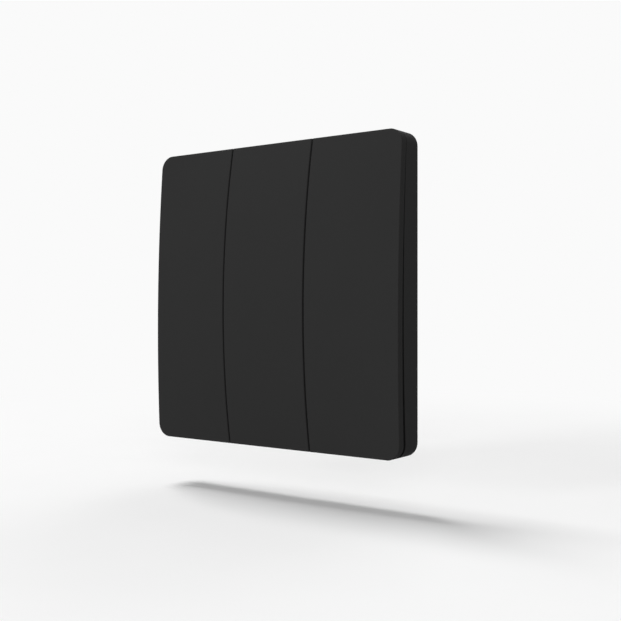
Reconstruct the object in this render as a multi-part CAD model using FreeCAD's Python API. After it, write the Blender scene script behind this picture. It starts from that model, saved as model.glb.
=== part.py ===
import FreeCAD, Part
import os

# Wireless remote wall switch with three keys that tilt on a hinge line near the top.
# Units are millimetres. The wall is the plane y = 0, the front faces -Y and +Z is up.
# The origin is the centre of the wall face. A depth is a distance in front of the wall.

# Outline seen from the front
plate_width = 86.0
plate_height = 86.0
corner_radius = 4.0
smallest_radius = 0.2

# Crowned front of the keys: depths at the top and bottom edges, bulge at half height
face_top_depth = 7.83
face_bottom_depth = 9.26
crown_middle = 4.0
crown_side = 1.43

# Front rim of the housing, with the same bulge
rim_top_depth = 5.5
rim_bottom_depth = 6.05

# Keys
key_names = ("left", "middle", "right")
key_gap = 0.45
key_wall = 1.4
key_band = 2.2
key_edge_radius = 0.25
rib_width = 0.9
rib_height = 0.8
rib_edge = 7.0
cross_rib_pitch = 40.0

# Hinge of the keys, near the top edge
hinge_edge = 5.0
ear_edge = 5.8
hinge_bar_radius = 0.75
ear_width = 3.0
ear_radius = 1.5
ear_mouth = 1.2
ear_floor_gap = 0.2
lug_width = 1.4
lug_height = 3.2
lug_drop = 1.0

# Catch that holds the keys near the bottom edge
catch_edge = 5.5
catch_width = 4.0
catch_leg = 1.2
barb_reach = 1.1
barb_height = 0.9
barb_gap = 0.1

# Clearances
running_gap = 0.05
slide_gap = 0.1
slot_gap = 0.3
loose_gap = 0.5
same_place = 0.01

# Housing tray
housing_wall = 1.6
floor_thickness = 1.2
pry_notch_width = 10.0
pry_notch_depth = 1.0

# Wall plate with its pads, slots and grip tongues
wall_plate_thickness = 1.6
wall_plate_gap = 0.4
plate_seat_gap = 0.1
pad_width = 64.0
pad_height = 14.0
pad_thickness = 0.8
pad_pitch = 44.0
pad_corner_radius = 1.0
fixing_edge = 13.0
fixing_slot_width = 4.4
fixing_slot_length = 8.0
fixing_head_diameter = 8.0
tongue_width = 4.0
tongue_thickness = 1.2
tongue_reach = 1.9
tongue_edge = 9.0

# Key carrier between the keys and the board
carrier_thickness = 1.2
carrier_recess = 0.3
carrier_gap = 0.2
carrier_screw_edge = 5.4
carrier_screw_pitch = 40.0
boss_radius = 2.6
boss_height = 1.3
post_floor = 1.0

# Screws of the carrier and of the board
screw_radius = 1.0
screw_head_radius = 1.7
screw_head_height = 0.9
screw_head_round = 0.3
screw_recess_length = 2.2
screw_recess_width = 0.5
screw_recess_depth = 0.5
boss_end_wall = 0.5

# Circuit board
board_thickness = 1.0
board_standoff = 1.0
board_side_edge = 9.0
board_top_edge = 16.0
board_bottom_edge = 12.0
board_corner_radius = 1.5
board_screw_edge = 4.0
standoff_radius = 2.2

# Push switches on the board, one behind each key
switch_size = 6.0
switch_corner_radius = 0.3
switch_body_height = 3.1
switch_cover_thickness = 0.3
plunger_radius = 1.75
plunger_tip_radius = 0.2
plunger_rise = 1.1
plunger_length = 3.2
plunger_space = 0.6
pusher_radius = 1.5
terminal_width = 0.7
terminal_reach = 1.2
terminal_thickness = 0.25
terminal_pitch = 4.5

# Coin cell
cell_radius = 10.0
cell_height = 3.2
cell_cap_edge = 1.2
cell_cap_step = 0.25

# Battery lid with a bayonet, and the well in the housing that takes it
lid_flange_thickness = 1.0
lid_spigot_wall = 0.9
lid_spigot_height = 1.7
lug_reach = 1.0
bayonet_height = 0.85
bayonet_width = 5.0
bayonet_count = 3
bayonet_turn = 35.0
well_wall = 1.0
well_top_step = 0.05
coin_slot_length = 14.0
coin_slot_width = 1.8
coin_slot_depth = 0.6

# Battery contacts
contact_thickness = 0.25
contact_width = 5.0
contact_foot = 3.5
contact_rise = 0.15
dimple_radius = 1.5
contact_past_centre = 4.0

# Radio and the small parts around it
chip_size = 5.0
chip_height = 0.85
crystal_length = 3.2
crystal_width = 2.5
crystal_height = 0.7
radio_pitch = 7.0
bulk_length = 3.5
bulk_width = 2.8
bulk_height = 1.9
bulk_offset = 12.0
antenna_length = 20.0
antenna_height = 2.5
antenna_rise = 0.6
antenna_thickness = 0.2
antenna_edge = 1.5
chip_part_length = 1.6
chip_part_width = 0.8
capacitor_height = 0.8
resistor_height = 0.45
chip_part_pitch = 2.6
capacitor_count = 6
resistor_count = 5
chip_row_gap = 4.0

# Places that follow from the sizes above
half_width = plate_width / 2
half_height = plate_height / 2
key_pitch = plate_width / len(key_names)
key_centres = [key_pitch * (i - (len(key_names) - 1) / 2) for i in range(len(key_names))]
hinge_z = half_height - hinge_edge
catch_z = -half_height + catch_edge
ear_offset = key_pitch / 2 - ear_edge
fixing_x = half_width - fixing_edge
switch_z = 0.0
cell_z = (switch_z - half_height) / 2
floor_rear = wall_plate_thickness + plate_seat_gap
floor_front = floor_rear + floor_thickness
hinge_depth = floor_front + ear_floor_gap + ear_radius
post_seat = floor_front + boss_height
screw_seat = post_seat + post_floor
screw_tip = floor_rear + boss_end_wall
board_rear = floor_front + board_standoff
board_front = board_rear + board_thickness
board_width = plate_width - 2 * board_side_edge
board_top = half_height - board_top_edge
board_bottom = -half_height + board_bottom_edge
antenna_z = board_top - antenna_edge - antenna_height / 2
radio_z = (switch_z + switch_size / 2 + antenna_z - antenna_height / 2) / 2
cover_rear = board_front + switch_body_height
cover_front = cover_rear + switch_cover_thickness
plunger_front = cover_front + plunger_rise
bore_floor = plunger_front - plunger_length - plunger_space
lid_front = floor_rear + lid_flange_thickness
cell_rear = lid_front + running_gap
cell_front = cell_rear + cell_height
spigot_inner = cell_radius + running_gap + slide_gap
spigot_outer = spigot_inner + lid_spigot_wall
spigot_front = lid_front + lid_spigot_height
bayonet_radius = spigot_outer + lug_reach
groove_rear = spigot_front - bayonet_height - running_gap
groove_front = spigot_front + slide_gap
groove_radius = bayonet_radius + slide_gap
well_radius = groove_radius + well_wall
well_top = cell_front - well_top_step
deep = 2 * (face_bottom_depth + crown_middle)


def box(x0, x1, depth0, depth1, z0, z1):
    """A block between two places on X, two depths and two heights."""
    corner = FreeCAD.Vector(x0, -depth1, z0)
    return Part.makeBox(x1 - x0, depth1 - depth0, z1 - z0, corner)


def centred_box(x, z, width, height, depth0, depth1):
    """A block about a point of the front view."""
    return box(x - width / 2, x + width / 2, depth0, depth1, z - height / 2, z + height / 2)


def post(x, z, radius, depth0, depth1):
    """A cylinder that runs from one depth to another."""
    base = FreeCAD.Vector(x, -depth0, z)
    return Part.makeCylinder(radius, depth1 - depth0, base, FreeCAD.Vector(0, -1, 0))


def bar(x, width, depth, z, radius):
    """A cylinder along X, centred on x."""
    base = FreeCAD.Vector(x - width / 2, -depth, z)
    return Part.makeCylinder(radius, width, base, FreeCAD.Vector(1, 0, 0))


def rounded_prism(inset, depth0, depth1):
    """The outline of the switch moved inwards, as a block with round corners."""
    radius = max(corner_radius - inset, smallest_radius)
    block = centred_box(0, 0, plate_width - 2 * inset, plate_height - 2 * inset, depth0, depth1)
    return round_corners(block, radius)


def round_corners(block, radius):
    """Rounds the edges of a block that run along the depth."""
    edges = [e for e in block.Edges if abs(e.tangentAt(e.FirstParameter).y) > 1 - same_place]
    return block.makeFillet(radius, edges)


def join(shapes):
    """One solid from pieces that meet."""
    first = shapes[0]
    return first.fuse(shapes[1:]).removeSplitter()


def crown_depth(x, z, top_depth, bottom_depth):
    """Depth of a crowned surface: a slanted chord and a bulge that fades to the top and bottom."""
    chord = (top_depth + bottom_depth) / 2 + (top_depth - bottom_depth) / 2 * z / half_height
    bulge = crown_middle - (crown_middle - crown_side) * (x / half_width) ** 2
    return chord + bulge * (1 - (z / half_height) ** 2)


def crown_pole(i, j, reach_x, reach_z, top_depth, bottom_depth):
    """One pole of the crowned surface, whose depth is quadratic in x and in z."""
    square_x = reach_x ** 2 * (1, -1, 1)[i]
    square_z = reach_z ** 2 * (1, -1, 1)[j]
    z = reach_z * (j - 1)
    chord = (top_depth + bottom_depth) / 2 + (top_depth - bottom_depth) / 2 * z / half_height
    bulge = crown_middle - (crown_middle - crown_side) * square_x / half_width ** 2
    depth = chord + bulge * (1 - square_z / half_height ** 2)
    return FreeCAD.Vector(reach_x * (i - 1), -depth, z)


def crown_patch(top_depth, bottom_depth, shift):
    """The crowned surface as a face a little larger than the switch, moved back by shift."""
    reach_x = half_width + loose_gap
    reach_z = half_height + loose_gap
    surface = Part.BezierSurface()
    surface.increase(2, 2)
    for i in range(3):
        for j in range(3):
            surface.setPole(i + 1, j + 1, crown_pole(i, j, reach_x, reach_z, top_depth, bottom_depth))
    face = surface.toShape()
    face.translate(FreeCAD.Vector(0, shift, 0))
    return face


def key_layer(shift, thickness):
    """The space behind the front of the keys, from one distance behind it on."""
    return crown_patch(face_top_depth, face_bottom_depth, shift).extrude(FreeCAD.Vector(0, thickness, 0))


def rim_layer(shift, thickness):
    """The same for the rim of the housing."""
    return crown_patch(rim_top_depth, rim_bottom_depth, shift).extrude(FreeCAD.Vector(0, thickness, 0))


def carrier_rear_depth(x, z):
    """Depth of the back of the carrier at a point of the front view."""
    rim = crown_depth(x, z, rim_top_depth, rim_bottom_depth)
    return rim - carrier_recess - carrier_thickness


def ear_places(centre):
    """Where the two ears and the two catches of a key are."""
    return (centre - ear_offset, centre + ear_offset)


def key_slab(centre, inset):
    """The stretch of the outline that belongs to one key, moved inwards."""
    width = key_pitch - key_gap - 2 * inset
    slab = centred_box(centre, 0, width, 2 * plate_height, 0, deep)
    reach = half_width - inset
    if centre - key_pitch / 2 < -half_width + key_gap:
        slab = box(-reach, centre + width / 2, 0, deep, -plate_height, plate_height)
    if centre + key_pitch / 2 > half_width - key_gap:
        slab = box(centre - width / 2, reach, 0, deep, -plate_height, plate_height)
    return rounded_prism(inset, 0, deep).common(slab)


def front_edges(shape):
    """Edges of a key that lie on its crowned face."""
    chosen = []
    for edge in shape.Edges:
        middle = edge.valueAt((edge.FirstParameter + edge.LastParameter) / 2)
        depth = crown_depth(middle.x, middle.z, face_top_depth, face_bottom_depth)
        if abs(-middle.y - depth) < same_place:
            chosen.append(edge)
    return chosen


def key_shell(centre):
    """The crowned skin of a key with its band all round."""
    block = key_slab(centre, 0).common(key_layer(0, key_band))
    hollow = key_slab(centre, key_wall).common(key_layer(key_wall, deep))
    rounded = block.makeFillet(key_edge_radius, front_edges(block))
    return rounded.cut(hollow)


def key_ribs(centre):
    """Two upright ribs and the cross ribs behind the skin."""
    ribs = []
    for x in ear_places(centre):
        ribs.append(centred_box(x, 0, rib_width, plate_height - 2 * rib_edge, 0, deep))
    for z in (-cross_rib_pitch / 2, cross_rib_pitch / 2):
        ribs.append(centred_box(centre, z, key_pitch - key_gap - key_wall, rib_width, 0, deep))
    layer = key_layer(key_wall / 2, key_wall / 2 + rib_height)
    return [rib.common(layer) for rib in ribs]


def key_ear(x):
    """A hook that snaps over a hinge bar."""
    stem = centred_box(x, hinge_z, ear_width, 2 * ear_radius, hinge_depth, deep)
    eye = bar(x, ear_width, hinge_depth, hinge_z, ear_radius)
    ear = join([stem, eye])
    ear = ear.cut(bar(x, 2 * ear_width, hinge_depth, hinge_z, hinge_bar_radius + running_gap))
    mouth = centred_box(x, hinge_z, 2 * ear_width, ear_mouth, 0, hinge_depth)
    return ear.cut(mouth)


def barb_depth(x):
    """Front of a barb, just behind the carrier at the barb's outer corner."""
    outer_x = abs(x) + catch_width / 2
    outer_z = catch_z - catch_leg / 2 - barb_reach
    return carrier_rear_depth(outer_x, outer_z) - barb_gap


def key_catch(x):
    """A leg through the carrier with a barb that stops the key from swinging out."""
    front = barb_depth(x)
    leg = centred_box(x, catch_z, catch_width, catch_leg, front - barb_height, deep)
    barb_bottom = catch_z - catch_leg / 2 - barb_reach
    barb = box(x - catch_width / 2, x + catch_width / 2, front - barb_height, front, barb_bottom, catch_z)
    return join([leg, barb])


def key(centre):
    """One whole key: skin, ribs, ears, catches and the pusher over its switch."""
    behind_skin = key_layer(key_wall / 2, deep)
    pieces = [key_shell(centre)] + key_ribs(centre)
    for x in ear_places(centre):
        pieces.append(key_ear(x).common(behind_skin))
        pieces.append(key_catch(x).common(behind_skin))
    pusher = post(centre, switch_z, pusher_radius, plunger_front + running_gap, deep)
    pieces.append(pusher.common(behind_skin))
    return join(pieces)


def hinge_lugs(x):
    """Two lugs with the bar that one ear hooks over."""
    offset = ear_width / 2 + slot_gap + lug_width / 2
    lugs = []
    for side in (-1, 1):
        lug = centred_box(x + side * offset, hinge_z, lug_width, lug_height, hinge_depth - lug_drop, deep)
        lugs.append(lug.common(rim_layer(carrier_recess, deep)))
    lugs.append(bar(x, 2 * offset + lug_width, hinge_depth, hinge_z, hinge_bar_radius))
    return lugs


def carrier_screw_places():
    """Centres of the four carrier screws in the front view."""
    x = half_width - carrier_screw_edge
    z = carrier_screw_pitch / 2
    return [(-x, -z), (x, -z), (-x, z), (x, z)]


def key_carrier():
    """The inner frame: a crowned skin with windows, slots, hinge bars and screw posts."""
    outline = rounded_prism(housing_wall + carrier_gap, 0, deep)
    skin = outline.common(rim_layer(carrier_recess, carrier_thickness))
    window = switch_size + 2 * loose_gap
    ear_slot = 2 * (ear_radius + slot_gap)
    leg_slot = catch_leg + 2 * slot_gap
    slots = []
    for centre in key_centres:
        slots.append(centred_box(centre, switch_z, window, window, 0, deep))
        for x in ear_places(centre):
            slots.append(centred_box(x, hinge_z, ear_width + 2 * slot_gap, ear_slot, 0, deep))
            slots.append(centred_box(x, catch_z, catch_width + 2 * slot_gap, leg_slot, 0, deep))
    pieces = [skin.cut(slots)]
    for centre in key_centres:
        for x in ear_places(centre):
            pieces.extend(hinge_lugs(x))
    holes = [post(0, cell_z, well_radius + slot_gap, 0, well_top + slide_gap)]
    for x, z in carrier_screw_places():
        pieces.append(post(x, z, boss_radius, post_seat, deep).common(rim_layer(carrier_recess, deep)))
        holes.append(post(x, z, screw_radius + slide_gap, 0, deep))
        holes.append(post(x, z, screw_head_radius + slot_gap, screw_seat, deep))
    return join(pieces).cut(holes)


def battery_well():
    """The round wall in the housing that holds the cell and the lid."""
    return post(0, cell_z, well_radius, floor_rear, well_top)


def bayonet_blocks(width, radius, depth0, depth1, turn):
    """Blocks that point outwards from the cell's axis, evenly round it, cut to a radius."""
    blocks = []
    axis = FreeCAD.Vector(0, 0, cell_z)
    for i in range(bayonet_count):
        block = box(-width / 2, width / 2, depth0, depth1, cell_z + cell_radius, cell_z + 2 * cell_radius)
        block.rotate(axis, FreeCAD.Vector(0, 1, 0), turn + 360.0 * i / bayonet_count)
        blocks.append(block.common(post(0, cell_z, radius, depth0, depth1)))
    return blocks


def well_cuts():
    """The stepped hole through the well: lid seat, ledge with its notches, groove and cell bore."""
    seat = post(0, cell_z, groove_radius, 0, cell_rear)
    ledge = post(0, cell_z, spigot_outer + slide_gap, 0, groove_rear)
    groove = post(0, cell_z, groove_radius, groove_rear, groove_front)
    bore = post(0, cell_z, spigot_inner, groove_front, deep)
    gate_height = contact_width + 2 * slot_gap
    gate_x = (cell_radius + well_radius + loose_gap) / 2
    gate_width = well_radius + loose_gap - cell_radius
    gate = centred_box(gate_x, cell_z, gate_width, gate_height, groove_front, deep)
    notch_width = bayonet_width + 2 * slot_gap
    notches = bayonet_blocks(notch_width, groove_radius, cell_rear, groove_rear, bayonet_turn)
    return [seat, ledge, groove, bore, gate] + notches


def board_screw_places():
    """Centres of the four board screws in the front view."""
    x = board_width / 2 - board_screw_edge
    low = board_bottom + board_screw_edge
    high = board_top - board_screw_edge
    return [(-x, low), (x, low), (-x, high), (x, high)]


def tongue_places():
    """Centres of the grip tongues: between the keys, near the top and bottom edges."""
    x = key_pitch / 2
    z = half_height - tongue_edge
    return [(-x, -z), (x, -z), (-x, z), (x, z)]


def rear_housing():
    """The tray with its side wall, floor, battery well, bosses and windows."""
    outer = rounded_prism(0, 0, deep).common(rim_layer(0, deep))
    inside = rounded_prism(housing_wall, floor_front, deep)
    recess = rounded_prism(housing_wall, 0, floor_rear)
    tray = outer.cut([inside, recess])
    pieces = [tray, battery_well()]
    holes = well_cuts()
    for x, z in carrier_screw_places():
        pieces.append(post(x, z, boss_radius, floor_rear, post_seat))
        holes.append(post(x, z, screw_radius + running_gap, screw_tip - slide_gap, deep))
    for x, z in board_screw_places():
        pieces.append(post(x, z, standoff_radius, floor_rear, board_rear))
        holes.append(post(x, z, screw_radius + running_gap, screw_tip - slide_gap, deep))
    for x in (-fixing_x, fixing_x):
        length = fixing_head_diameter + fixing_slot_length - fixing_slot_width + 2 * loose_gap
        holes.append(centred_box(x, 0, length, fixing_head_diameter + 2 * loose_gap, 0, board_rear))
    for x, z in tongue_places():
        width = tongue_width + 2 * slide_gap
        holes.append(centred_box(x, z, width, tongue_thickness + 2 * running_gap, 0, board_rear))
    holes.append(box(-pry_notch_width / 2, pry_notch_width / 2, 0, pry_notch_depth, -plate_height,
                     -half_height + housing_wall))
    return join(pieces).cut(holes)


def pad_places():
    """Heights of the two adhesive pads."""
    return (-pad_pitch / 2, pad_pitch / 2)


def fixing_slot(x):
    """A slot with round ends for a screw in the wall."""
    end = (fixing_slot_length - fixing_slot_width) / 2
    middle = centred_box(x, 0, 2 * end, fixing_slot_width, 0, wall_plate_thickness)
    ends = [post(x + reach, 0, fixing_slot_width / 2, 0, wall_plate_thickness) for reach in (-end, end)]
    return join([middle] + ends)


def wall_plate():
    """The plate that stays on the wall."""
    plate = rounded_prism(housing_wall + wall_plate_gap, 0, wall_plate_thickness)
    tongues = []
    for x, z in tongue_places():
        reach = wall_plate_thickness + tongue_reach
        tongues.append(centred_box(x, z, tongue_width, tongue_thickness, 0, reach))
    cuts = []
    for z in pad_places():
        cuts.append(centred_box(0, z, pad_width, pad_height, 0, pad_thickness))
    for x in (-fixing_x, fixing_x):
        cuts.append(fixing_slot(x))
    return join([plate] + tongues).cut(cuts)


def adhesive_pads():
    """Two foam pads, flush in the back of the wall plate."""
    pads = []
    for z in pad_places():
        pad = centred_box(0, z, pad_width - 2 * slide_gap, pad_height - 2 * slide_gap, 0, pad_thickness)
        pads.append(round_corners(pad, pad_corner_radius))
    return Part.makeCompound(pads)


def battery_lid():
    """The round lid: flange with a coin slot, spigot round the cell, bayonet lugs."""
    flange = post(0, cell_z, bayonet_radius, floor_rear, lid_front)
    spigot = post(0, cell_z, spigot_outer, floor_rear, spigot_front)
    hollow = post(0, cell_z, spigot_inner, lid_front, deep)
    lugs = bayonet_blocks(bayonet_width, bayonet_radius, spigot_front - bayonet_height, spigot_front, 0)
    slot = centred_box(0, cell_z, coin_slot_length, coin_slot_width, 0, floor_rear + coin_slot_depth)
    return join([flange, spigot] + lugs).cut([hollow, slot])


def coin_cell():
    """The round cell: can and, in front, its smaller cap."""
    can = post(0, cell_z, cell_radius, cell_rear, cell_front - cell_cap_step)
    cap = post(0, cell_z, cell_radius - cell_cap_edge, cell_rear, cell_front)
    return join([can, cap])


def contact_positive():
    """A strip on the board that reaches through the well's gate to the side of the cell."""
    tip = cell_radius + running_gap
    end = well_radius + slot_gap + contact_foot
    low = cell_z - contact_width / 2
    high = cell_z + contact_width / 2
    strip = box(tip, end, board_front, board_front + contact_thickness, low, high)
    tab = box(tip, tip + contact_thickness, board_front, cell_front - 2 * cell_cap_step, low, high)
    return join([strip, tab])


def contact_negative():
    """A strip that stands on the board and bridges the well to the cap of the cell."""
    rear = cell_front + contact_rise
    front = rear + contact_thickness
    near = -well_radius - slot_gap
    low = cell_z - contact_width / 2
    high = cell_z + contact_width / 2
    foot = box(near - contact_foot, near, board_front, board_front + contact_thickness, low, high)
    riser = box(near - contact_thickness, near, board_front, front, low, high)
    bridge = box(near - contact_thickness, contact_past_centre, rear, front, low, high)
    dimple = post(0, cell_z, dimple_radius, cell_front, front)
    return join([foot, riser, bridge, dimple])


def circuit_board():
    """The board with its round notch and screw holes."""
    board = box(-board_width / 2, board_width / 2, board_rear, board_front, board_bottom, board_top)
    holes = [post(0, cell_z, well_radius + slot_gap, 0, deep)]
    for x, z in board_screw_places():
        holes.append(post(x, z, screw_radius + slide_gap, 0, deep))
    return round_corners(board, board_corner_radius).cut(holes)


def front_rim(cylinder, front):
    """The round edge at the front of a cylinder."""
    return [e for e in cylinder.Edges if -e.CenterOfMass.y > front - same_place]


def screw(x, z, seat):
    """A pan-head screw with a cross recess, its head in front."""
    head_front = seat + screw_head_height
    shank = post(x, z, screw_radius, screw_tip, head_front)
    head = post(x, z, screw_head_radius, seat, head_front)
    head = head.makeFillet(screw_head_round, front_rim(head, head_front))
    recess_rear = head_front - screw_recess_depth
    upright = centred_box(x, z, screw_recess_width, screw_recess_length, recess_rear, deep)
    level = centred_box(x, z, screw_recess_length, screw_recess_width, recess_rear, deep)
    return join([shank, head]).cut([upright, level])


def screws(places, seat):
    """Like screws as separate solids."""
    return Part.makeCompound([screw(x, z, seat) for x, z in places])


def switch_body(centre):
    """The moulded housing of a push switch, with the bore of its plunger."""
    body = centred_box(centre, switch_z, switch_size, switch_size, board_front, cover_rear)
    bore = post(centre, switch_z, plunger_radius + running_gap, bore_floor, deep)
    return round_corners(body, switch_corner_radius).cut(bore)


def switch_plunger(centre):
    """The stem of a push switch."""
    stem = post(centre, switch_z, plunger_radius, plunger_front - plunger_length, plunger_front)
    return stem.makeFillet(plunger_tip_radius, front_rim(stem, plunger_front))


def switch_covers():
    """Steel plates on the push switches, each with a hole for the plunger."""
    covers = []
    for centre in key_centres:
        plate = centred_box(centre, switch_z, switch_size, switch_size, cover_rear, cover_front)
        hole = post(centre, switch_z, plunger_radius + running_gap, 0, deep)
        covers.append(round_corners(plate, switch_corner_radius).cut(hole))
    return Part.makeCompound(covers)


def switch_terminals():
    """Four bent legs on each push switch, standing on the board."""
    legs = []
    for centre in key_centres:
        for side in (-1, 1):
            for row in (-1, 1):
                z = switch_z + row * terminal_pitch / 2
                wall = centre + side * switch_size / 2
                foot_x = wall + side * terminal_reach / 2
                stem_x = wall + side * terminal_thickness / 2
                stem_front = board_front + switch_body_height / 2
                foot = centred_box(foot_x, z, terminal_reach, terminal_width, board_front,
                                   board_front + terminal_thickness)
                stem = centred_box(stem_x, z, terminal_thickness, terminal_width, board_front, stem_front)
                legs.append(join([foot, stem]))
    return Part.makeCompound(legs)


def radio_chip():
    """The square radio chip."""
    return centred_box(0, radio_z, chip_size, chip_size, board_front, board_front + chip_height)


def crystal():
    """The quartz crystal beside the radio chip."""
    front = board_front + crystal_height
    return centred_box(radio_pitch, radio_z, crystal_width, crystal_length, board_front, front)


def bulk_capacitor():
    """The larger capacitor that carries the transmit pulses."""
    front = board_front + bulk_height
    return centred_box(-bulk_offset, radio_z, bulk_length, bulk_width, board_front, front)


def antenna():
    """A stamped strip on two feet along the top of the board."""
    front = board_front + antenna_rise + antenna_thickness
    strip = centred_box(0, antenna_z, antenna_length, antenna_height, front - antenna_thickness, front)
    end = antenna_length / 2 - antenna_thickness / 2
    feet = []
    for x in (-end, end):
        feet.append(centred_box(x, antenna_z, antenna_thickness, antenna_height, board_front, front))
    return join([strip] + feet)


def chip_row(count, height, z):
    """A row of small chip parts on the board."""
    start = -(count - 1) / 2
    row = []
    for i in range(count):
        x = (start + i) * chip_part_pitch
        row.append(centred_box(x, z, chip_part_width, chip_part_length, board_front, board_front + height))
    return Part.makeCompound(row)


def sub_parts():
    """Every node of the switch by name."""
    parts = {
        "wall_plate": wall_plate(),
        "adhesive_pads": adhesive_pads(),
        "rear_housing": rear_housing(),
        "battery_lid": battery_lid(),
        "coin_cell": coin_cell(),
        "battery_contact_positive": contact_positive(),
        "battery_contact_negative": contact_negative(),
        "circuit_board": circuit_board(),
        "board_screws": screws(board_screw_places(), board_front),
        "key_carrier": key_carrier(),
        "carrier_screws": screws(carrier_screw_places(), screw_seat),
        "switch_covers": switch_covers(),
        "switch_terminals": switch_terminals(),
        "radio_chip": radio_chip(),
        "crystal": crystal(),
        "antenna": antenna(),
        "bulk_capacitor": bulk_capacitor(),
        "chip_capacitors": chip_row(capacitor_count, capacitor_height, radio_z - chip_row_gap),
        "chip_resistors": chip_row(resistor_count, resistor_height, radio_z + chip_row_gap),
    }
    for name, centre in zip(key_names, key_centres):
        parts[name + "_key"] = key(centre)
        parts[name + "_switch_body"] = switch_body(centre)
        parts[name + "_switch_plunger"] = switch_plunger(centre)
    return parts


os.makedirs("parts", exist_ok=True)
for name, shape in sub_parts().items():
    shape.exportStep("parts/" + name + ".step")
    print(name, "solids", len(shape.Solids), "valid", shape.isValid(), "volume", round(shape.Volume, 2))
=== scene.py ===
import math

import bpy
from mathutils import Euler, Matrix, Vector


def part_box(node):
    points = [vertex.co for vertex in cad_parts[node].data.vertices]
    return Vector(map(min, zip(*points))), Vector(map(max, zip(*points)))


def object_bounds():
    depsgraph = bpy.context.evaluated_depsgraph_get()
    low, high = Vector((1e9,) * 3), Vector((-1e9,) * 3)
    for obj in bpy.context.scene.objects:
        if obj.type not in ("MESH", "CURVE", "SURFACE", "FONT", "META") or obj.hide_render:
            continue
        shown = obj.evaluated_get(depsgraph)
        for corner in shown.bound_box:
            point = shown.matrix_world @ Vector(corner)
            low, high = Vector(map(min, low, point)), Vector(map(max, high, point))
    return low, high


# Wireless remote wall switch: finishes, moulded edges and studio around the fixed frame.
# Lengths are in metres. The front faces -Y and +Z is up.

bl_info = {
    "name": "Wall switch finishes",
    "version": (1, 0, 0),
    "blender": (4, 5, 0),
    "location": "3D View > Sidebar > Switch",
    "description": "Dresses a three-key wireless wall switch and sets up its studio",
    "category": "Object",
}

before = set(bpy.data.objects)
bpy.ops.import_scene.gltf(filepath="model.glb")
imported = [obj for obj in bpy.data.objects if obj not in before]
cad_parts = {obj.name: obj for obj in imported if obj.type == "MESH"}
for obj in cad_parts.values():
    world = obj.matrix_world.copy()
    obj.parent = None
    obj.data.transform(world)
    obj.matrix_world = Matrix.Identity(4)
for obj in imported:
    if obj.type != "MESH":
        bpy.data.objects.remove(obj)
cad_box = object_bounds()

MM = 0.001
SIDES = ("left", "middle", "right")

# The photograph in its own pixels: side, focal length, and how far the horizon lies above the middle
PHOTO_PIXELS = 621
PHOTO_FOCAL_PIXELS = 947.5
PHOTO_HORIZON_PIXELS = 3.25

# The camera: width of its sensor, and the nearest and furthest that it sees
SENSOR_WIDTH_MM = 36.0
CLIP_RANGE = (0.01, 50.0)

# The floor: half its side, the distances between which it fades into the background, the two tones of its
# mottle, and the darker tone in which its light reaches the switch
FLOOR_REACH = 8.0
FLOOR_FADE = (0.1, 0.34)
FLOOR_TONES = ((0.915, 0.915, 0.915), (0.935, 0.935, 0.935))
FLOOR_BOUNCE = (0.32, 0.32, 0.32)

# Rounded edges: what counts as one point, as flat and as an edge, and how many steps round it
WELD_DISTANCE = 0.0005 * MM
FLAT_ANGLE = math.radians(0.5)
EDGE_ANGLE = math.radians(35)
EDGE_SEGMENTS = 2

# How squarely a face of the tray looks forward where its painted shade starts, and where it is full
# Painted shade: the tray faces that the keys cover are coloured darker, for the shade that falls under the
# keys
PAINTED_SHADE_FACING = (0.9, 0.97)

# Stripes of the pad liner's lattice and of the board's copper runs: pitch, and the heights of their wave
# where 0 turns to 1
LATTICE_STRIPES = (2.5 * MM, 0.0, 0.22)
COPPER_STRIPES = (1.0 * MM, 0.88, 0.94)

# Width of the blocks that the board's copper is divided into
COPPER_BLOCK = 7.0 * MM

# The coin cell: distance between its turning rings, and where its gasket lies, in from the rim
TURNING_PITCH = 0.25 * MM
GASKET_FROM_RIM = (1.3 * MM, 0.95 * MM)

# Round moulding marks of the wall plate: distances from its middle along X and Z, and radius
EJECTOR_MARKS = (
    (36.0 * MM, 34.5 * MM, 2.0 * MM),
    (0.0, 34.5 * MM, 2.0 * MM),
    (0.0, 0.0, 0.9 * MM),
)


class SwitchSizes(bpy.types.PropertyGroup):
    """Small sizes of the finish that a user may want to change."""

    edge_round: bpy.props.FloatProperty(
        name="Edge rounding", description="Radius of the moulded edges", default=0.15 * MM,
        unit="LENGTH", precision=5)
    grain_pitch: bpy.props.FloatProperty(
        name="Texture pitch", description="Distance between grains of the matte texture", default=0.16 * MM,
        unit="LENGTH", precision=6)
    grain_depth: bpy.props.FloatProperty(
        name="Texture depth", description="Depth of the matte texture", default=0.004 * MM,
        unit="LENGTH", precision=7)


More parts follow.
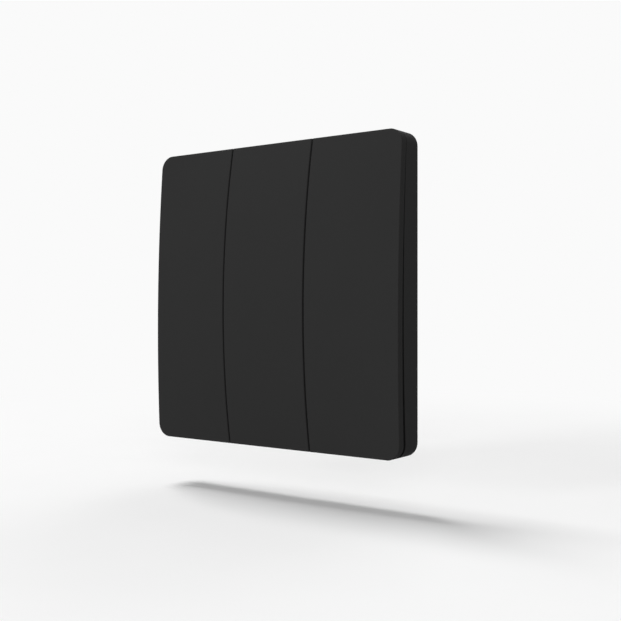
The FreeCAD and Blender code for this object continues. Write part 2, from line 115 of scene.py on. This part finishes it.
class SwitchColours(bpy.types.PropertyGroup):
    """Colours of the finishes, as linear values."""

    key: bpy.props.FloatVectorProperty(
        name="Keys", description="Black of the keys", subtype="COLOR", default=(0.0305, 0.0305, 0.0305))
    housing: bpy.props.FloatVectorProperty(
        name="Housing", description="Black of the tray", subtype="COLOR", default=(0.032, 0.032, 0.032))
    # Painted shade: a darker colour on the tray faces that the keys cover, for the shade that falls under
    # the keys
    painted_shade: bpy.props.FloatVectorProperty(
        name="Covered tray", description="Tray faces that the keys cover", subtype="COLOR",
        default=(0.011, 0.011, 0.011))
    inside: bpy.props.FloatVectorProperty(
        name="Inside", description="Black of the inner frame", subtype="COLOR",
        default=(0.012, 0.012, 0.012))
    pad: bpy.props.FloatVectorProperty(
        name="Pad liner", description="Waxed paper on the pads", subtype="COLOR", default=(0.70, 0.68, 0.62))
    foam: bpy.props.FloatVectorProperty(
        name="Pad foam", description="Foam of the pads", subtype="COLOR", default=(0.16, 0.16, 0.16))
    solder_mask: bpy.props.FloatVectorProperty(
        name="Board", description="Solder mask of the board", subtype="COLOR", default=(0.012, 0.10, 0.04))
    hole_plating: bpy.props.FloatVectorProperty(
        name="Hole plating", description="Plating of the small holes in the board", subtype="COLOR",
        default=(0.55, 0.5, 0.4))
    tin: bpy.props.FloatVectorProperty(
        name="Tin", description="Tinned ends of the small chip parts", subtype="COLOR",
        default=(0.68, 0.67, 0.64))
    nickel: bpy.props.FloatVectorProperty(
        name="Nickel", description="Nickel plating", subtype="COLOR", default=(0.62, 0.60, 0.56))
    gasket: bpy.props.FloatVectorProperty(
        name="Gasket", description="Gasket of the coin cell", subtype="COLOR", default=(0.03, 0.03, 0.03))
    steel: bpy.props.FloatVectorProperty(
        name="Steel", description="Bare and zinc-plated steel", subtype="COLOR", default=(0.56, 0.57, 0.58))
    resin: bpy.props.FloatVectorProperty(
        name="Resin", description="Black resin of chips and push switches", subtype="COLOR",
        default=(0.013, 0.013, 0.013))
    ochre: bpy.props.FloatVectorProperty(
        name="Large capacitor", description="Ochre resin of the large capacitor", subtype="COLOR",
        default=(0.55, 0.3, 0.05))
    ceramic: bpy.props.FloatVectorProperty(
        name="Small capacitors", description="Fired bodies of the small capacitors", subtype="COLOR",
        default=(0.36, 0.24, 0.14))
    film: bpy.props.FloatVectorProperty(
        name="Resistors", description="Black film on the resistors", subtype="COLOR",
        default=(0.015, 0.015, 0.018))
    stem: bpy.props.FloatVectorProperty(
        name="Stems", description="Stems of the push switches", subtype="COLOR", default=(0.55, 0.55, 0.52))


class SwitchStudio(bpy.types.PropertyGroup):
    """Places of the camera and the floor, and brightness of what lies round the switch."""

    camera_x: bpy.props.FloatProperty(
        name="Camera X", description="Camera place along X", default=167.3 * MM, unit="LENGTH")
    camera_y: bpy.props.FloatProperty(
        name="Camera Y", description="Camera place along Y", default=-218.4 * MM, unit="LENGTH")
    camera_z: bpy.props.FloatProperty(
        name="Camera Z", description="Camera place along Z", default=-3.4 * MM, unit="LENGTH")
    heading: bpy.props.FloatProperty(
        name="Heading", description="Turn of the camera from +Y towards -X", default=math.radians(36.1),
        subtype="ANGLE")
    floor_drop: bpy.props.FloatProperty(
        name="Floor drop", description="Gap between the switch and the floor below it", default=14.5 * MM,
        unit="LENGTH")
    backdrop: bpy.props.FloatProperty(
        name="Backdrop", description="Linear brightness of the white background", default=0.956)
    sky: bpy.props.FloatProperty(
        name="Sky", description="Strength of the even light from all round", default=0.25)


class Field:
    """A value or colour that varies over a surface: a socket, and for values one that takes arithmetic."""

    def __init__(self, sheet, socket):
        self.sheet = sheet
        self.socket = socket

    def math(self, operation, left, right=0.0):
        """A Math node on two values, numbers or fields."""
        return self.sheet.node("ShaderNodeMath", {"operation": operation}, {0: left, 1: right})

    def __add__(self, other):
        return self.math("ADD", self, other)

    def __radd__(self, other):
        return self.math("ADD", other, self)

    def __sub__(self, other):
        return self.math("SUBTRACT", self, other)

    def __rsub__(self, other):
        return self.math("SUBTRACT", other, self)

    def __mul__(self, other):
        return self.math("MULTIPLY", self, other)

    def __rmul__(self, other):
        return self.math("MULTIPLY", other, self)

    def __pow__(self, other):
        return self.math("POWER", self, other)

    def __gt__(self, other):
        return self.math("GREATER_THAN", self, other)

    def __abs__(self):
        return self.math("ABSOLUTE", self)

    def sine(self):
        return self.math("SINE", self)

    def step(self, low, high):
        """0 below low and 1 above high, smooth between them."""
        settings = {"interpolation_type": "SMOOTHSTEP"}
        inputs = {"Value": self, "From Min": low, "From Max": high}
        return self.sheet.node("ShaderNodeMapRange", settings, inputs)

    def stripes(self, pitch, low, high):
        """Stripes that lie pitch apart: a wave that is cut to 0 below low and to 1 above high."""
        return abs((self * (math.pi / pitch)).sine()).step(low, high)


class Sheet:
    """The node tree of a new material, or of a new world, filled from expressions."""

    def __init__(self, name, store="materials"):
        self.owner = getattr(bpy.data, store).new(name)
        self.owner.use_nodes = True
        self.tree = self.owner.node_tree
        self.tree.nodes.clear()

    def node(self, kind, settings=None, inputs=None, output=0):
        """Adds a node: settings first, then the values and links of its sockets."""
        node = self.tree.nodes.new(kind)
        for name, value in (settings or {}).items():
            setattr(node, name, value)
        for name, value in (inputs or {}).items():
            if isinstance(value, Field):
                self.tree.links.new(value.socket, node.inputs[name])
            else:
                node.inputs[name].default_value = value
        return Field(self, node.outputs[output]) if len(node.outputs) else None

    def place(self):
        """Coordinates in the switch's own frame."""
        return self.node("ShaderNodeTexCoord", output="Object")

    def along(self, name):
        """One coordinate as a number."""
        return self.node("ShaderNodeSeparateXYZ", inputs={"Vector": self.place()}, output=name)

    def facing(self, name):
        """One part of the surface's direction as a number between -1 and 1."""
        direction = self.node("ShaderNodeTexCoord", output="Normal")
        return self.node("ShaderNodeSeparateXYZ", inputs={"Vector": direction}, output=name)

    def ray(self, kind):
        """1 for rays of one kind and 0 for the others."""
        return self.node("ShaderNodeLightPath", output=kind)

    def stretched(self, factors):
        """Coordinates multiplied by three factors: a small one draws a pattern out along its axis."""
        return self.node("ShaderNodeVectorMath", {"operation": "MULTIPLY"}, {0: self.place(), 1: factors})

    def noise(self, pitch, detail=2.0, place=None):
        """Noise whose features lie about pitch apart."""
        inputs = {"Vector": place or self.place(), "Scale": 1.0 / pitch, "Detail": detail}
        return self.node("ShaderNodeTexNoise", inputs=inputs, output="Fac")

    def flow_lines(self):
        """Noise drawn out along Z, the way the melt ran through the mould."""
        return self.noise(6 * MM, 3.0, self.stretched((1.0, 1.0, 0.25)))

    def cells(self, pitch):
        """Distance from the nearest point of a loose grid about pitch wide."""
        inputs = {"Vector": self.place(), "Scale": 1.0 / pitch}
        return self.node("ShaderNodeTexVoronoi", inputs=inputs, output="Distance")

    def block_number(self, pitch):
        """A number from 0 to 1 of its own for each block, about pitch wide and square to the axes."""
        inputs = {"Vector": self.place(), "Scale": 1.0 / pitch}
        colour = self.node("ShaderNodeTexVoronoi", {"distance": "CHEBYCHEV"}, inputs, "Color")
        return self.node("ShaderNodeSeparateXYZ", inputs={"Vector": colour}, output="X")

    def between(self, factor, low, high):
        """A colour between two colours, each fixed or a field."""
        low, high = (colour if isinstance(colour, Field) else (*colour, 1.0) for colour in (low, high))
        return self.node("ShaderNodeMix", {"data_type": "RGBA"}, {0: factor, 6: low, 7: high}, 2)

    def bump(self, height, depth):
        """A normal from a height that is given in steps of depth."""
        return self.node("ShaderNodeBump", inputs={"Height": height, "Distance": depth}, output="Normal")

    def surface(self, inputs):
        """The principled shader on the material's output."""
        shader = self.node("ShaderNodeBsdfPrincipled", inputs=inputs, output="BSDF")
        self.node("ShaderNodeOutputMaterial", inputs={"Surface": shader})
        return self.owner


def shade(colour, factor):
    """A colour made lighter or darker."""
    return tuple(min(part * factor, 1.0) for part in colour)


def moulded_plastic(name, colour, roughness=0.74, gloss=0.025, inner=None):
    """Fine spark-eroded matte plastic: grain with pits, and faint clouds in its colour and roughness.

    Where an inner colour is given, the faces turned to the front, which the keys cover, have it: painted
    shade, a darker colour that stands in for the shade under the keys.
    """
    sizes = bpy.context.scene.switch_sizes
    sheet = Sheet(name)
    grain = sheet.noise(sizes.grain_pitch, 3.0)
    pits = sheet.cells(2.2 * sizes.grain_pitch)
    clouds = sheet.noise(14 * MM)
    tone = sheet.between(0.6 * clouds + 0.4 * grain, shade(colour, 0.95), shade(colour, 1.05))
    # Painted shade on the faces that the keys cover
    if inner is not None:
        painted_shade = (0.0 - sheet.facing("Y")).step(*PAINTED_SHADE_FACING)
        tone = sheet.between(painted_shade, tone, inner)
    return sheet.surface({
        "Base Color": tone,
        "Roughness": roughness - 0.05 + 0.06 * grain + 0.05 * clouds,
        "Specular IOR Level": gloss,
        "Normal": sheet.bump(0.7 * grain + 0.3 * pits, sizes.grain_depth),
    })


def satin_plastic(name, colour):
    """Satin inner plastic with flow lines."""
    sheet = Sheet(name)
    flow = sheet.flow_lines()
    grain = sheet.noise(0.3 * MM)
    tone = sheet.between(0.7 * flow + 0.3 * grain, shade(colour, 0.85), shade(colour, 1.15))
    return sheet.surface({
        "Base Color": tone,
        "Roughness": 0.4 + 0.14 * flow,
        "Specular IOR Level": 0.4,
        "Normal": sheet.bump(grain, 0.003 * MM),
    })


def foam_liner(name, colour, foam):
    """Foam pad under a waxed paper liner.

    The liner has an embossed lattice, fibres and a peeling slit, and the foam shows its cells at the sides.
    """
    sheet = Sheet(name)
    x, z = sheet.along("X"), sheet.along("Z")
    lattice = (x + z).stripes(*LATTICE_STRIPES) * (x - z).stripes(*LATTICE_STRIPES)
    slit = abs(x + 0.05 * z).step(0.08 * MM, 0.13 * MM)
    fibres = sheet.noise(0.5 * MM, 4.0, sheet.stretched((0.3, 1.0, 1.0)))
    clouds = sheet.noise(9 * MM)
    cells = sheet.cells(0.25 * MM)
    mottle = 0.3 * fibres + 0.3 * clouds + 0.4 * lattice
    paper = sheet.between(mottle, shade(colour, 0.86), shade(colour, 1.06))
    paper = sheet.between(slit, shade(colour, 0.3), paper)
    side = sheet.between(cells, shade(foam, 0.6), shade(foam, 1.3))
    outer = sheet.facing("Y").step(0.6, 0.7)
    relief = (0.7 * lattice + 0.3 * fibres) * slit * outer + cells * (1.0 - outer)
    return sheet.surface({
        "Base Color": sheet.between(outer, side, paper),
        "Roughness": 0.85 - 0.35 * outer + 0.1 * fibres,
        "Specular IOR Level": 0.4,
        "Normal": sheet.bump(relief, 0.03 * MM),
    })


def wall_plate_plastic(name, colour):
    """Satin plastic with flow lines and the round marks of the ejector pins and of the gate."""
    sheet = Sheet(name)
    flow = sheet.flow_lines()
    grain = sheet.noise(0.3 * MM)
    x, z = abs(sheet.along("X")), abs(sheet.along("Z"))
    marks = 0.0
    for mark_x, mark_z, radius in EJECTOR_MARKS:
        from_mark = ((x - mark_x) ** 2.0 + (z - mark_z) ** 2.0) ** 0.5
        marks = marks + (1.0 - abs(from_mark - radius).step(0.05 * MM, 0.16 * MM))
    tone = sheet.between(0.7 * flow + 0.3 * grain, shade(colour, 0.88), shade(colour, 1.12))
    return sheet.surface({
        "Base Color": sheet.between(0.8 * marks, tone, shade(colour, 0.35)),
        "Roughness": 0.42 + 0.14 * flow,
        "Specular IOR Level": 0.4,
        "Normal": sheet.bump(0.1 * grain - marks, 0.03 * MM),
    })


def plated_metal(name, colour, roughness=0.3, stretch=(1.0, 1.0, 0.04)):
    """Plated strip or sheet with light handling marks and rolling lines.

    The lines run along the axis whose stretch is small.
    """
    sheet = Sheet(name)
    lines = sheet.noise(0.05 * MM, place=sheet.stretched(stretch))
    marks = sheet.noise(1.2 * MM, 3.0)
    tone = sheet.between(0.6 * lines + 0.4 * marks, shade(colour, 0.85), shade(colour, 1.08))
    return sheet.surface({
        "Base Color": tone,
        "Metallic": 1.0,
        "Roughness": roughness + 0.1 * lines + 0.08 * marks,
        "Normal": sheet.bump(lines, 0.001 * MM),
    })


def turned_can(name, colour, gasket_colour, low, high):
    """Round can that fills a box: turning rings about its axis and a darker gasket line."""
    sheet = Sheet(name)
    x = sheet.along("X") - (low.x + high.x) / 2
    z = sheet.along("Z") - (low.z + high.z) / 2
    radius = (x * x + z * z) ** 0.5
    rings = 0.5 + 0.5 * (radius * (2 * math.pi / TURNING_PITCH)).sine()
    marks = sheet.noise(0.8 * MM, 3.0)
    inner, outer = ((high.x - low.x) / 2 - inset for inset in GASKET_FROM_RIM)
    gasket = radius.step(inner, inner + 0.1 * MM) - radius.step(outer - 0.1 * MM, outer)
    tone = sheet.between(0.5 * rings + 0.5 * marks, shade(colour, 0.9), shade(colour, 1.08))
    return sheet.surface({
        "Base Color": sheet.between(gasket, tone, gasket_colour),
        "Metallic": 1.0 - gasket,
        "Roughness": 0.24 + 0.08 * marks,
        "Normal": sheet.bump(rings, 0.001 * MM),
    })


def circuit_laminate(name, colour, plating):
    """Green board: bundles of copper runs and filled copper under the mask, and small plated holes."""
    sheet = Sheet(name)
    upright_runs = sheet.along("X").stripes(*COPPER_STRIPES)
    level_runs = sheet.along("Z").stripes(*COPPER_STRIPES)
    # About a third of the blocks have upright runs, a third level runs and a third solid copper
    block = sheet.block_number(COPPER_BLOCK)
    upright, level = block > 0.65, 1.0 - (block > 0.35)
    copper = upright * upright_runs + level * level_runs + (1.0 - upright - level)
    holes = 1.0 - sheet.cells(3.4 * MM).step(0.09, 0.11)
    weave = sheet.noise(0.35 * MM)
    mask = sheet.between(0.75 * copper + 0.1 * weave, colour, shade(colour, 1.9))
    return sheet.surface({
        "Base Color": sheet.between(holes, mask, plating),
        "Metallic": holes,
        "Roughness": 0.3 + 0.1 * weave,
        "Specular IOR Level": 0.5,
        "Normal": sheet.bump(0.8 * copper + 0.2 * weave, 0.02 * MM),
    })


def ended_chip(name, body, tin, low, high, bare_share):
    """Row of small chip parts that fills a box: fired bodies, bare between their tinned ends."""
    sheet = Sheet(name)
    half_bare = bare_share * (high.z - low.z) / 2
    ends = abs(sheet.along("Z") - (low.z + high.z) / 2).step(half_bare, half_bare + 0.02 * MM)
    grit = sheet.noise(0.12 * MM, 3.0)
    body_tone = sheet.between(grit, shade(body, 0.85), shade(body, 1.15))
    return sheet.surface({
        "Base Color": sheet.between(ends, body_tone, tin),
        "Metallic": ends,
        "Roughness": 0.45 - 0.15 * ends + 0.1 * grit,
        "Normal": sheet.bump(grit, 0.004 * MM),
    })


def clean_edges(node, width):
    """Small rounded edges on a node of the frame, its own mesh left as it is."""
    weld = node.modifiers.new("weld", "WELD")
    weld.merge_threshold = WELD_DISTANCE
    flat = node.modifiers.new("flat", "DECIMATE")
    flat.decimate_type = "DISSOLVE"
    flat.angle_limit = FLAT_ANGLE
    rounding = node.modifiers.new("rounding", "BEVEL")
    rounding.width = width
    rounding.segments = EDGE_SEGMENTS
    rounding.limit_method = "ANGLE"
    rounding.angle_limit = EDGE_ANGLE
    even = node.modifiers.new("even", "WEIGHTED_NORMAL")
    even.keep_sharp = True


def dress(name, material, width=0.0):
    """Gives a node of the frame its finish and, where a width is given, its rounded edges."""
    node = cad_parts[name]
    node.data.materials.clear()
    node.data.materials.append(material)
    if width:
        clean_edges(node, width)


class WALL_SWITCH_OT_keys(bpy.types.Operator):
    """The three crowned keys"""

    bl_idname = "wall_switch.keys"
    bl_label = "Keys"

    def execute(self, context):
        colours = context.scene.switch_colours
        finish = moulded_plastic("key_matte_black", colours.key)
        for side in SIDES:
            dress(side + "_key", finish)
        return {"FINISHED"}


class WALL_SWITCH_OT_housing(bpy.types.Operator):
    """The tray behind the keys"""

    bl_idname = "wall_switch.housing"
    bl_label = "Housing"

    def execute(self, context):
        colours = context.scene.switch_colours
        sizes = context.scene.switch_sizes
        # The tray gets painted shade, a darker colour, on the faces that the keys cover
        tray = moulded_plastic("housing_matte_black", colours.housing, inner=colours.painted_shade)
        dress("rear_housing", tray, sizes.edge_round)
        lid = satin_plastic("lid_satin_black", shade(colours.housing, 0.75))
        dress("battery_lid", lid, sizes.edge_round)
        return {"FINISHED"}


class WALL_SWITCH_OT_wall_plate(bpy.types.Operator):
    """The wall plate and its adhesive pads"""

    bl_idname = "wall_switch.wall_plate"
    bl_label = "Wall plate"

    def execute(self, context):
        colours = context.scene.switch_colours
        sizes = context.scene.switch_sizes
        plate = wall_plate_plastic("plate_satin_black", shade(colours.housing, 0.8))
        dress("wall_plate", plate, sizes.edge_round)
        dress("adhesive_pads", foam_liner("pad_liner", colours.pad, colours.foam))
        return {"FINISHED"}


class WALL_SWITCH_OT_inside(bpy.types.Operator):
    """Carrier, screws and battery parts"""

    bl_idname = "wall_switch.inside"
    bl_label = "Inside"

    def execute(self, context):
        colours = context.scene.switch_colours
        dress("key_carrier", satin_plastic("carrier_satin_black", colours.inside))
        can = turned_can("cell_nickel_can", colours.nickel, colours.gasket, *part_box("coin_cell"))
        dress("coin_cell", can)
        contact = plated_metal("contact_nickel_strip", colours.nickel, 0.28, (0.04, 1.0, 1.0))
        dress("battery_contact_positive", contact)
        dress("battery_contact_negative", contact)
        zinc = plated_metal("screw_zinc_steel", colours.steel, 0.35, (1.0, 1.0, 1.0))
        dress("board_screws", zinc)
        dress("carrier_screws", zinc)
        return {"FINISHED"}


class WALL_SWITCH_OT_board(bpy.types.Operator):
    """The circuit board and what is on it"""

    bl_idname = "wall_switch.board"
    bl_label = "Board"

    def execute(self, context):
        colours = context.scene.switch_colours
        laminate = circuit_laminate("board_green_mask", colours.solder_mask, colours.hole_plating)
        dress("circuit_board", laminate)
        dress("switch_terminals", plated_metal("terminal_tinned", shade(colours.nickel, 1.1), 0.35))
        strip = plated_metal("antenna_tinned_strip", shade(colours.nickel, 0.8), 0.55, (0.04, 1.0, 1.0))
        dress("antenna", strip)
        dress("crystal", plated_metal("crystal_nickel_can", colours.nickel, 0.25))
        dress("switch_covers", plated_metal("cover_satin_steel", colours.steel, 0.32))
        chip = moulded_plastic("chip_black_resin", colours.resin, roughness=0.5, gloss=0.5)
        dress("radio_chip", chip)
        block = moulded_plastic("capacitor_ochre_resin", colours.ochre, roughness=0.45, gloss=0.5)
        dress("bulk_capacitor", block)
        small_chips = {"chip_capacitors": (colours.ceramic, 0.62), "chip_resistors": (colours.film, 0.7)}
        for name, (fired, bare_share) in small_chips.items():
            dress(name, ended_chip(name + "_finish", fired, colours.tin, *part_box(name), bare_share))
        body = moulded_plastic("push_switch_black_resin", colours.resin, roughness=0.45, gloss=0.5)
        stem = moulded_plastic("push_switch_white_stem", colours.stem, roughness=0.4, gloss=0.5)
        for side in SIDES:
            dress(side + "_switch_body", body)
            dress(side + "_switch_plunger", stem)
        return {"FINISHED"}


def soft_lamp(name, turn, rise, distance, size, level):
    """A soft lamp aimed at the middle of the switch.

    Its turn, from the front towards +X, and its rise are in degrees. Its level is the brightness that it
    alone gives to a white surface facing it.
    """
    lamp = bpy.data.lights.new(name, "AREA")
    lamp.shape = "RECTANGLE"
    lamp.size, lamp.size_y = size
    lamp.energy = level * (math.pi * distance) ** 2
    holder = bpy.data.objects.new(name, lamp)
    bpy.context.scene.collection.objects.link(holder)
    turn, rise = math.radians(turn), math.radians(rise)
    outwards = Vector((math.sin(turn) * math.cos(rise), -math.cos(turn) * math.cos(rise), math.sin(rise)))
    holder.location = outwards * distance
    holder.rotation_euler = (-outwards).to_track_quat("-Z", "Y").to_euler()


def background_world(brightness, strength):
    """Even light all round, where the camera, glossy surfaces and glass see a white background."""
    sheet = Sheet("studio", "worlds")
    seeing = sheet.ray("Is Camera Ray") + sheet.ray("Is Glossy Ray") + sheet.ray("Is Transmission Ray")
    shown = seeing > 0.5
    inputs = {"Color": (1, 1, 1, 1), "Strength": shown * brightness + (1.0 - shown) * strength}
    light = sheet.node("ShaderNodeBackground", inputs=inputs)
    sheet.node("ShaderNodeOutputWorld", inputs={"Surface": light})
    bpy.context.scene.world = sheet.owner


def floor_material(brightness, near, far):
    """Pale floor that keeps shadows near the switch and fades into the background behind it."""
    sheet = Sheet("floor_pale")
    x, y = sheet.along("X"), sheet.along("Y")
    fade = ((x * x + y * y) ** 0.5).step(near, far)
    bounce = sheet.ray("Is Diffuse Ray")
    pale = sheet.between(sheet.noise(30 * MM), *FLOOR_TONES)
    paint = sheet.node("ShaderNodeBsdfDiffuse", inputs={"Color": sheet.between(bounce, pale, FLOOR_BOUNCE)})
    glow = sheet.node("ShaderNodeEmission", inputs={"Color": (1, 1, 1, 1), "Strength": brightness})
    mixed = sheet.node("ShaderNodeMixShader", inputs={0: fade * (1.0 - bounce), 1: paint, 2: glow})
    sheet.node("ShaderNodeOutputMaterial", inputs={"Surface": mixed})
    return sheet.owner


def add_floor(studio):
    """The floor below the switch."""
    mesh = bpy.data.meshes.new("floor")
    corners = [(FLOOR_REACH * x, FLOOR_REACH * y, 0) for x, y in ((-1, -1), (1, -1), (1, 1), (-1, 1))]
    mesh.from_pydata(corners, [], [(0, 1, 2, 3)])
    mesh.materials.append(floor_material(studio.backdrop, *FLOOR_FADE))
    floor = bpy.data.objects.new("floor", mesh)
    floor.location = (0, 0, cad_box[0].z - studio.floor_drop)
    bpy.context.scene.collection.objects.link(floor)


def add_camera(studio):
    """The camera at the photograph's place, with its field of view."""
    optics = bpy.data.cameras.new("camera")
    optics.sensor_width = SENSOR_WIDTH_MM
    optics.lens = PHOTO_FOCAL_PIXELS * SENSOR_WIDTH_MM / PHOTO_PIXELS
    optics.shift_y = -PHOTO_HORIZON_PIXELS / PHOTO_PIXELS
    optics.clip_start, optics.clip_end = CLIP_RANGE
    camera = bpy.data.objects.new("camera", optics)
    camera.location = (studio.camera_x, studio.camera_y, studio.camera_z)
    camera.rotation_euler = Euler((math.pi / 2, 0, studio.heading))
    bpy.context.scene.collection.objects.link(camera)
    bpy.context.scene.camera = camera


class WALL_SWITCH_OT_stage(bpy.types.Operator):
    """Floor, light and camera"""

    bl_idname = "wall_switch.stage"
    bl_label = "Stage"

    def execute(self, context):
        studio = context.scene.switch_studio
        add_floor(studio)
        background_world(studio.backdrop, studio.sky)
        soft_lamp("top_softbox", turn=-97, rise=66, distance=2.0, size=(0.68, 0.7), level=0.64)
        soft_lamp("key_softbox", turn=37, rise=13, distance=0.75, size=(0.32, 0.25), level=0.3)
        soft_lamp("front_softbox", turn=-19.5, rise=9.5, distance=1.4, size=(0.3, 0.26), level=0.36)
        soft_lamp("back_softbox", turn=-168, rise=35, distance=1.5, size=(0.9, 0.9), level=0.14)
        add_camera(studio)
        context.scene.view_settings.view_transform = "Standard"
        return {"FINISHED"}


class WALL_SWITCH_PT_panel(bpy.types.Panel):
    """The steps that dress the switch"""

    bl_idname = "WALL_SWITCH_PT_panel"
    bl_label = "Wall switch"
    bl_space_type = "VIEW_3D"
    bl_region_type = "UI"
    bl_category = "Switch"

    def draw(self, context):
        for step in STEPS:
            self.layout.operator(step.bl_idname)
        for group_name, kind in GROUPS.items():
            for name in kind.__annotations__:
                self.layout.prop(getattr(context.scene, group_name), name)


STEPS = (
    WALL_SWITCH_OT_keys,
    WALL_SWITCH_OT_housing,
    WALL_SWITCH_OT_wall_plate,
    WALL_SWITCH_OT_inside,
    WALL_SWITCH_OT_board,
    WALL_SWITCH_OT_stage,
)
GROUPS = {"switch_sizes": SwitchSizes, "switch_colours": SwitchColours, "switch_studio": SwitchStudio}
KINDS = (*GROUPS.values(), *STEPS, WALL_SWITCH_PT_panel)


def register():
    for kind in KINDS:
        bpy.utils.register_class(kind)
    for name, kind in GROUPS.items():
        setattr(bpy.types.Scene, name, bpy.props.PointerProperty(type=kind))


def unregister():
    for name in GROUPS:
        delattr(bpy.types.Scene, name)
    for kind in reversed(KINDS):
        bpy.utils.unregister_class(kind)


def main():
    register()
    bpy.ops.wall_switch.keys()
    bpy.ops.wall_switch.housing()
    bpy.ops.wall_switch.wall_plate()
    bpy.ops.wall_switch.inside()
    bpy.ops.wall_switch.board()
    bpy.ops.wall_switch.stage()


if __name__ == "__main__":
    main()
